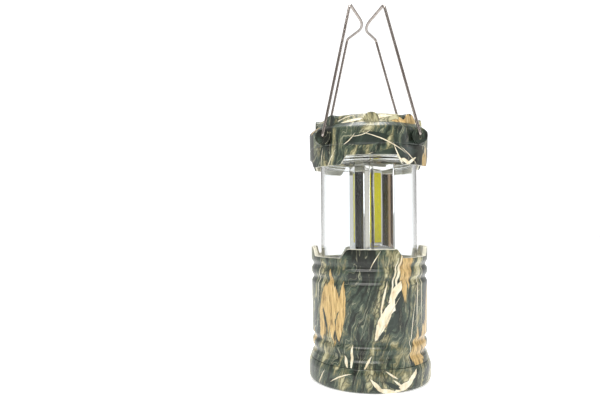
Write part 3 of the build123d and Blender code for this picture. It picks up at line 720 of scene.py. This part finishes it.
def cap():
    corners = [
        (0, 0.6, 0), (33.2, 0.6, 0.3), (34.0, 0.0, 0.3), (41.7, 0.0, 0.8), (43.3, 1.1, 1.0),
        (CAP_R, 3.4, 1.2), (CAP_R, 12.4, 2.0), (42.9, SEAM_Z - 0.4, 0.5), (42.5, SEAM_Z, 0.2),
        (SKIRT_R + 0.4, SEAM_Z, 0.2), (SKIRT_R + 0.4, 2.2, 0), (0, 2.2, 0),
    ]
    mesh = skin("base_cap_shell", lambda degrees: rounded(corners, 5), round_the_ring(300))
    material = printed_abs("woodland_printed_abs_cap", 0.02, CAP_PATCHES, (), CAP_BRANCHES, CAP_LEAVES,
                           CAP_TWIGS)
    piece = mesh_object("base_cap_shell", mesh, material)
    film_layer(piece, lambda r, z: r > 41.5 or z < 1.5)
    keep(piece, "cap", "camo_plastic", "base_cap")


def boss_tools():
    """Round bosses at the four pivots, and the shallow recess and the pin hole in each."""
    solids, recesses, holes = [], [], []
    for x in (-PIVOT_X, PIVOT_X):
        for end in (-1, 1):
            solids.append(across_bar(BOSS_R, 14, BOSS_FACE, x, BOSS_Z, end))
            recesses.append(across_bar(BOSS_R - 0.7, BOSS_FACE - 0.4, BEYOND, x, BOSS_Z, end))
            holes.append(across_bar(WIRE_R + 0.06, BOSS_FACE - PIN_DEPTH - 0.3, BEYOND, x, HINGE_Z, end))
    return solids, recesses, holes


def head():
    slope = 0.5 / 25.1

    def outline(degrees):
        low = HEAD_Z + TAB_H * tab_share(degrees, 42.4, 0.3)
        line = HEAD_Z + 13.5
        return rounded([
            (42.4 + slope * 6, low, 0.35), (42.4 + slope * 7, HEAD_Z + 7.6, 0),
            (42.4 + slope * 12, line - 0.6, 0.25), (42.2, line, 0.2), (42.4 + slope * 14, line + 0.6, 0.25),
            (42.9, HEAD_Z + 25.1, 0.9), (39.0, COVER_Z, 0.5), (36.9, COVER_Z, 0), (36.9, COVER_Z - 1.6, 0),
            (40.0, HEAD_Z + 22.6, 0), (40.0, HEAD_Z + 10.5, 0), (7.0, HEAD_Z + 10.5, 0),
            (7.0, HEAD_Z + 8.5, 0), (40.0, HEAD_Z + 8.5, 0), (40.0, HEAD_Z + 7.6, 0), (40.1, low, 0.4),
        ])

    mesh = skin("head_shell_print", outline, round_the_ring(540))
    material = printed_abs("woodland_printed_abs_head", -0.12, HEAD_PATCHES, HEAD_SPLINTERS, HEAD_BRANCHES,
                           HEAD_LEAVES, HEAD_TWIGS)
    piece = mesh_object("head_shell_print", mesh, material)
    solids, recesses, holes = boss_tools()
    middle = (37.2, 60, Matrix.Translation((0, 0, HEAD_Z + 20)))
    bosses = cut(tool_object("bosses", solids), tool_object("middle", [middle]), "DIFFERENCE")
    cut(piece, bosses, "UNION")
    for tools in (recesses, holes):
        cut(piece, tool_object("recesses", tools), "DIFFERENCE")
    film_layer(piece, lambda r, z: (r - 40.6) / 1.2 if z < HEAD_Z + 7.6 else r > 37.3)
    keep(piece, "head", "camo_plastic", "head_shell")


def cover():
    """Crown of the head: a cone with a dished top, and the spigot below it."""
    outline = rounded([
        (0, TOP_Z - 0.8, 0), (28.8, TOP_Z - 0.8, 0.4), (30.0, TOP_Z, 0.4), (31.2, TOP_Z, 0.5),
        (33.8, TOP_Z - 0.7, 1.2), (38.5, COVER_Z, 0.3), (36.75, COVER_Z, 0), (36.75, COVER_Z - 3.0, 0.3),
        (34.75, COVER_Z - 3.0, 0.3), (34.75, COVER_Z, 0), (29.0, TOP_Z - 2.8, 0), (0, TOP_Z - 2.8, 0),
    ])
    mesh = skin("crown", lambda degrees: outline, round_the_ring(360))
    # Tone 0.22 makes the crown's print paler; part of that is painted highlight, standing in for the light
    # its upward slopes catch from above.
    material = printed_abs("woodland_printed_abs_crown_painted_highlight", 0.22, COVER_PATCHES, (), COVER_BRANCHES,
                           COVER_LEAVES, COVER_TWIGS, over_top=True)
    piece = mesh_object("crown", mesh, material)
    film_layer(piece, lambda r, z: z > COVER_Z - 0.1)
    keep(piece, "head", "camo_plastic", "top_cover")


def grips():
    """Eight half-round grips round the crown, each with softened outer edges."""
    bm = bmesh.new()
    straight = GRIP_H - GRIP_HALF
    arc = [math.pi * k / 20 for k in range(21)]
    shape = [(-GRIP_HALF, 0.05)] + [
        (-GRIP_HALF * math.cos(a), straight + min(GRIP_HALF * math.sin(a), GRIP_HALF - 0.08)) for a in arc
    ] + [(GRIP_HALF, 0.05)]
    near = [bm.verts.new((x * MM, -GRIP_ROOT_R * MM, (COVER_Z + z) * MM)) for x, z in shape]
    front = bm.faces.new(near)
    pushed = bmesh.ops.extrude_face_region(bm, geom=[front])
    moved = [item for item in pushed["geom"] if isinstance(item, bmesh.types.BMVert)]
    bmesh.ops.translate(bm, verts=moved, vec=(0, -(GRIP_R - GRIP_ROOT_R) * MM, 0))
    bmesh.ops.recalc_face_normals(bm, faces=bm.faces)
    edges = [e for e in bm.edges if all(v.co.y < -(GRIP_R - 0.1) * MM for v in e.verts)]
    bmesh.ops.bevel(bm, geom=edges, offset=0.7 * MM, segments=4, profile=0.5, affect="EDGES")
    unit = bpy.data.objects.new("grip", from_bmesh(bm, "grip"))
    ring = repeat_tree("copies_round_a_ring", True)
    material = printed_abs("woodland_printed_abs_grips", 0.09, COVER_PATCHES, (), (), (), (), over_top=True)
    piece = repeated("crown_grips", ring, unit, material, Count=8, Step=math.pi / 4)
    film_layer(piece, lambda r, z: 1)
    keep(piece, "head", "camo_plastic")


def tube():
    """Clear tube with its seating ring, a rounded lower edge and a fine moulded rib inside at the front."""
    low, high = HEAD_Z + 2.4, HEAD_Z + 6.0
    inner = TUBE_R - TUBE_WALL

    def outline(degrees):
        offset = TUBE_R * math.radians((degrees + 180) % 360 - 180)
        rib = 0.7 * max(0.0, 1 - abs(offset) / 1.4) ** 0.5
        return rounded([
            (inner, TUBE_Z, 0.3), (TUBE_R, TUBE_Z, 0.3), (TUBE_R, low, 0.3), (36.3, low + 0.4, 0.3),
            (36.3, low + 1.2, 0.3), (35.25, low + 1.6, 0.2), (35.25, high - 0.4, 0.2), (TUBE_R, high, 0.2),
            (TUBE_R, TUBE_TOP, 0), (inner - rib, TUBE_TOP, 0), (inner - rib, COLUMN_Z + 2.6, 0),
            (inner, COLUMN_Z + 2.0, 0),
        ])

    even = {round(degrees, 3) for degrees in round_the_ring(240)}
    close_by_the_rib = {round((k - 12) * 0.25 % 360, 3) for k in range(25)}
    mesh = skin("light_tube", outline, sorted(even | close_by_the_rib))
    keep(mesh_object("light_tube", mesh, clear_styrene()), "head", "clear_plastic", "clear_tube")


def column():
    """Mirrored column: three long faces, each scooped out round a strip of light, and three cut corners."""
    half, distance, corner_cut = 14.8, 12.0, 0.06
    scoop_half, scoop_deep = 13.2, 2.5
    scoop_r = (scoop_half ** 2 + scoop_deep ** 2) / (2 * scoop_deep)
    low, high = COLUMN_Z + 9.0, COLUMN_TOP - 7.0
    step = 0.25
    levels = [COLUMN_Z, COLUMN_Z + 6.0]
    levels += [low + k * step for k in range(11)]
    levels += [low + (high - low) * k / 12 for k in range(1, 12)]
    levels += [high - k * step for k in range(10, -1, -1)]
    levels += [COLUMN_TOP - 5.0, COLUMN_TOP]
    levels = [z for k, z in enumerate(levels) if k == 0 or z > levels[k - 1] + 1e-6]
    across = [-half, -half + 0.2]
    across += [-scoop_half + 2 * scoop_half * k / 44 for k in range(45)]
    across += [half - 0.2, half]

    def depth(side, z):
        if abs(side) > scoop_half or z < low or z > high:
            return 0.0
        trough = math.sqrt(scoop_r ** 2 - side ** 2) - (scoop_r - scoop_deep)
        return max(0.0, min(trough, z - low, high - z))

    bm = bmesh.new()
    rows = []
    for z in levels:
        row = []
        for angle in FACE_DEG:
            turn = math.radians(angle - 90)
            for side in across:
                reach = distance - depth(side, z) - (corner_cut if abs(side) == half else 0)
                row.append(bm.verts.new((
                    (reach * math.cos(turn) - side * math.sin(turn)) * MM,
                    (reach * math.sin(turn) + side * math.cos(turn)) * MM, z * MM)))
        rows.append(row)
    count = len(rows[0])
    for below, above in zip(rows, rows[1:]):
        for k in range(count):
            follow = (k + 1) % count
            bm.faces.new((below[k], below[follow], above[follow], above[k]))
    bm.faces.new(rows[0][::-1])
    bm.faces.new(rows[-1])
    mesh = from_bmesh(bm, "mirror_column")
    keep(mesh_object("mirror_column", mesh, mirror_film(), 25), "head", "mirror_plating", "reflector_column")


def light_strips():
    """A domed yellow strip on each board, with the row of chips just showing through it."""
    seat, edge, crown, half, steps = 10.3, 0.25, 0.25, 3.05, 6
    count, chip_r = 10, 0.45
    row = repeat_tree("copies_in_a_row", False)
    for number, angle in enumerate(FACE_DEG, 1):
        low, high = low_mm(f"cob_strip_{number}").z, high_mm(f"cob_strip_{number}").z
        turn = Matrix.Rotation(math.radians(angle - 90), 4, "Z")
        bm = bmesh.new()
        profile = [(seat - 0.02, -half), (seat + edge, -half)]
        for k in range(-steps, steps + 1):
            swing = math.pi / 2 * k / steps
            profile.append((seat + edge + crown * math.cos(swing), half * math.sin(swing)))
        profile += [(seat + edge, half), (seat - 0.02, half)]
        ends = []
        for z in (low, low + 0.4, high - 0.4, high):
            shrink = 0.88 if z in (low, high) else 1.0
            ends.append([bm.verts.new(turn @ Vector((x * MM, y * shrink * MM, z * MM))) for x, y in profile])
        for below, above in zip(ends, ends[1:]):
            for k in range(len(profile)):
                follow = (k + 1) % len(profile)
                bm.faces.new((below[k], below[follow], above[follow], above[k]))
        bm.faces.new(ends[0][::-1])
        bm.faces.new(ends[-1])
        bmesh.ops.remove_doubles(bm, verts=bm.verts, dist=1e-7)
        bmesh.ops.recalc_face_normals(bm, faces=bm.faces)
        name = f"light_strip_{number}"
        strip = mesh_object(name, from_bmesh(bm, name), FINISH["phosphor_yellow"])
        keep(strip, "head", "phosphor_yellow", f"cob_strip_{number}")

        bm = bmesh.new()
        bmesh.ops.create_uvsphere(bm, u_segments=10, v_segments=6, radius=chip_r * MM)
        bmesh.ops.scale(bm, vec=(0.35, 1, 1), verts=bm.verts)
        bmesh.ops.transform(bm, matrix=turn @ Matrix.Translation((10.78 * MM, 0, 0)), verts=bm.verts)
        unit = bpy.data.objects.new("chip", from_bmesh(bm, "chip"))
        step = (high - low) / count
        chips = repeated(f"chip_domes_{number}", row, unit, FINISH["phosphor_shade"], Count=count,
                         Step=step * MM, Start=(0, 0, (low + step / 2) * MM))
        keep(chips, "head", "phosphor_yellow")


def wire_tree():
    """A round wire along the edges of a path."""
    tree, given = geometry_tree("wire_along_a_path", Path="Object", Radius="Float", Sides="Int",
                                Material="Material")
    path = add(tree, "GeometryNodeObjectInfo", {"Object": given["Path"]}, transform_space="ORIGINAL")
    line = add(tree, "GeometryNodeMeshToCurve", {"Mesh": path.node.outputs["Geometry"]})
    section = add(tree, "GeometryNodeCurvePrimitiveCircle",
                  {"Resolution": given["Sides"], "Radius": given["Radius"]})
    wire = add(tree, "GeometryNodeCurveToMesh", {"Curve": line, "Profile Curve": section, "Fill Caps": True})
    return close_tree(tree, wire, given["Material"])


def handle_path(side):
    """Straight runs and arcs of one handle, as in its drawing: pin, leg, bowed bar, leg, pin."""
    lean = math.radians(LEAN[side])
    along = Vector((-side * math.sin(lean), 0, math.cos(lean)))
    out = Vector((-side * along.z, 0, side * along.x))
    pivot = Vector((side * PIVOT_X, 0, HINGE_Z))
    centre = BOW_H - BOW_R
    turn = math.atan2(PIVOT_Y, -centre) - math.acos(BOW_R / math.hypot(PIVOT_Y, centre))
    apex = pivot + along * LEG_LEN + out * (centre + BOW_R / math.cos(turn))
    ends = []
    for way in (-1, 1):
        leg_end = pivot + Vector((0, way * PIVOT_Y, 0))
        pin_end = pivot + Vector((0, way * (BOSS_FACE - PIN_DEPTH), 0))
        ends.append([pin_end, leg_end, leg_end + along * LEG_LEN])
    corners = ends[0] + [apex] + ends[1][::-1]
    points = [corners[0]]
    bends = (1.3, 2.4, BOW_R, 2.4, 1.3)
    for before, corner, after, bend in zip(corners, corners[1:], corners[2:], bends):
        arriving, leaving = (corner - before).normalized(), (after - corner).normalized()
        half_turn = arriving.angle(leaving) / 2
        first = corner - arriving * bend * math.tan(half_turn)
        middle = corner + (leaving - arriving).normalized() * bend / math.cos(half_turn)
        steps = 36 if bend == BOW_R else 12
        axis = arriving.cross(leaving).normalized()
        for k in range(steps + 1):
            swing = Matrix.Rotation(2 * half_turn * k / steps, 3, axis)
            points.append(middle + swing @ (first - middle))
    return points + [corners[-1]]


def handles():
    tree = wire_tree()
    for side, name in ((-1, "left"), (1, "right")):
        bm = bmesh.new()
        verts = [bm.verts.new(point * MM) for point in handle_path(side)]
        for a, b in zip(verts, verts[1:]):
            bm.edges.new((a, b))
        path = bpy.data.objects.new("path", from_bmesh(bm, "path"))
        wire = repeated(f"wire_handle_{name}", tree, path, FINISH["bright_wire"], Path=path,
                        Radius=WIRE_R * MM, Sides=20)
        keep(wire, f"{name}_handle", "bright_wire", f"handle_{name}")


# ---- Stage, light and camera ---------------------------------------------------------------

# Azimuth of the studio's screens round the lantern, from the front toward its right, in degrees.
SCREENS = (
    (-180, "#E2E2E0"), (-150, "#E8E8E6"), (-125, "#F4F4F2"), (-66, "#F4F4F2"), (-57, "#101012"),
    (-30, "#17181A"), (-22, "#A09C96"), (10, "#AEAAA4"), (24, "#776E67"), (30, "#1E1612"), (42, "#2A1E18"),
    (43.5, "#B5987A"), (47, "#B5987A"), (49, "#1A1614"), (62, "#201C1A"), (64, "#F4F4F2"), (84, "#F4F4F2"),
    (86, "#1C1C1E"), (100, "#2A2A2A"), (103, "#F0ECE0"), (125, "#EDE9DE"), (132, "#E2E2E0"),
    (180, "#E2E2E0"),
)
ROOM_STRENGTH = 0.95
BACKDROP_STRENGTH = 1.3
FLOOR_HALF = 3000
LAMPS = (
    ("key_softbox", (-120, -560, 800), (760, 220), 5.4, "#FFFDF8"),
    ("fill_softbox", (860, -200, 420), (300, 500), 1.2, "#F6F9FF"),
    ("top_softbox", (0, 120, 900), (400, 400), 4.5, "#FFFFFF"),
)


def studio():
    scene = bpy.context.scene
    scene.view_settings.view_transform = "Standard"
    scene.render.film_transparent = False
    world = bpy.data.worlds.new("studio")
    scene.world = world
    world.use_nodes = True
    tree = world.node_tree
    toward = tree.nodes.new("ShaderNodeTexCoord").outputs["Generated"]
    way = add(tree, "ShaderNodeSeparateXYZ", {0: toward}).node
    back = calc(tree, "MULTIPLY", way.outputs[1], -1.0)
    turn = calc(tree, "ARCTAN2", way.outputs[0], back)
    share = calc(tree, "MULTIPLY_ADD", turn, 1 / (2 * math.pi), 0.5)
    around = ramp(tree, share, [(0.5 + degrees / 360, code) for degrees, code in SCREENS])
    high = step_up(tree, way.outputs[2], 0.30, 0.62)
    room = mix_colour(tree, around, tint("#B8B8B6"), high)
    ray = tree.nodes.new("ShaderNodeLightPath").outputs
    bounced = calc(tree, "ADD", ray["Diffuse Depth"], ray["Glossy Depth"])
    seen = mix_colour(tree, (1.0, 1.0, 1.0, 1.0), room, calc(tree, "GREATER_THAN", bounced, 0.5))
    strength = add(tree, "ShaderNodeMapRange",
                   {"Value": bounced, "To Min": BACKDROP_STRENGTH, "To Max": ROOM_STRENGTH})
    ground = tree.nodes["Background"]
    tree.links.new(seen, ground.inputs["Color"])
    tree.links.new(strength, ground.inputs["Strength"])

    for name, place, size, power, colour in LAMPS:
        light = bpy.data.lights.new(name, "AREA")
        light.shape = "RECTANGLE"
        light.size, light.size_y = size[0] * MM, size[1] * MM
        light.energy = power
        light.color = tint(colour)[:3]
        lamp = bpy.data.objects.new(name, light)
        scene.collection.objects.link(lamp)
        lamp.location = Vector(place) * MM
        lamp.rotation_euler = (Vector((0, 0, 110 * MM)) - lamp.location).to_track_quat("-Z", "Y").to_euler()

    bm = bmesh.new()
    bmesh.ops.create_grid(bm, x_segments=2, y_segments=2, size=FLOOR_HALF * MM)
    bmesh.ops.translate(bm, verts=bm.verts, vec=(0, 0, -0.05 * MM))
    material, _, _ = finish_of("matt_white_floor", "#F2F2F0", 0.9, Specular_IOR_Level=0.1,
                                Emission_Color=tint("#FFFFFF"), Emission_Strength=0.55)
    floor = mesh_object("floor", from_bmesh(bm, "floor"), material)


def camera():
    data = bpy.data.cameras.new("camera")
    data.lens = 32.7
    data.sensor_width = 36.0
    data.shift_y = 0.025
    data.clip_start = 0.01
    eye = bpy.data.objects.new("camera", data)
    bpy.context.scene.collection.objects.link(eye)
    eye.location = Vector((-24.6, -403.0, 118.3)) * MM
    aim = Matrix.Rotation(math.radians(3.66), 4, "Z") @ Matrix.Rotation(math.radians(90), 4, "X")
    eye.rotation_euler = (aim @ Matrix.Rotation(math.radians(-0.4), 4, "Z")).to_euler()
    bpy.context.scene.camera = eye


# ---- Put it together -----------------------------------------------------------------------

FINISH = {
    "ivory_plastic": moulded_ivory(),
    "gasket_rubber": plain("black_nitrile_rubber", "#1C1C1C", "#0E0E0E", 0.7, 0.8),
    "bright_wire": plated_wire(),
    "contact_brass": metal("stamped_brass", "#D3A64E", "#B98B3A", 0.3),
    "nickel_plate": metal("nickel_plated_spring_steel", "#C6C2BA", "#A8A49C", 0.28),
    "wire_insulation": plain("red_pvc_insulation", "#A81A14", "#8C120E", 0.35, 1.0),
    "zinc_screw": metal("zinc_plated_steel", "#B9BCC2", "#9DA0A8", 0.3),
    "cell_jacket": plain("printed_cell_jacket", "#2C343C", "#232A30", 0.3, 3.0),
    "board_white": solder_mask(),
    "phosphor_yellow": phosphor_silicone(),
    "phosphor_shade": plain("phosphor_over_chip", "#D6CC1C", "#C6BC18", 0.4, 1.0),
}

for row in frame["record"]["subparts"]:
    finish = FINISH.get(row["material_slot"])
    if finish:
        mesh = frame["nodes"][row["node"]].data
        mesh.materials.clear()
        mesh.materials.append(finish)

housing()
cap()
head()
cover()
grips()
tube()
column()
light_strips()
handles()
studio()
camera()
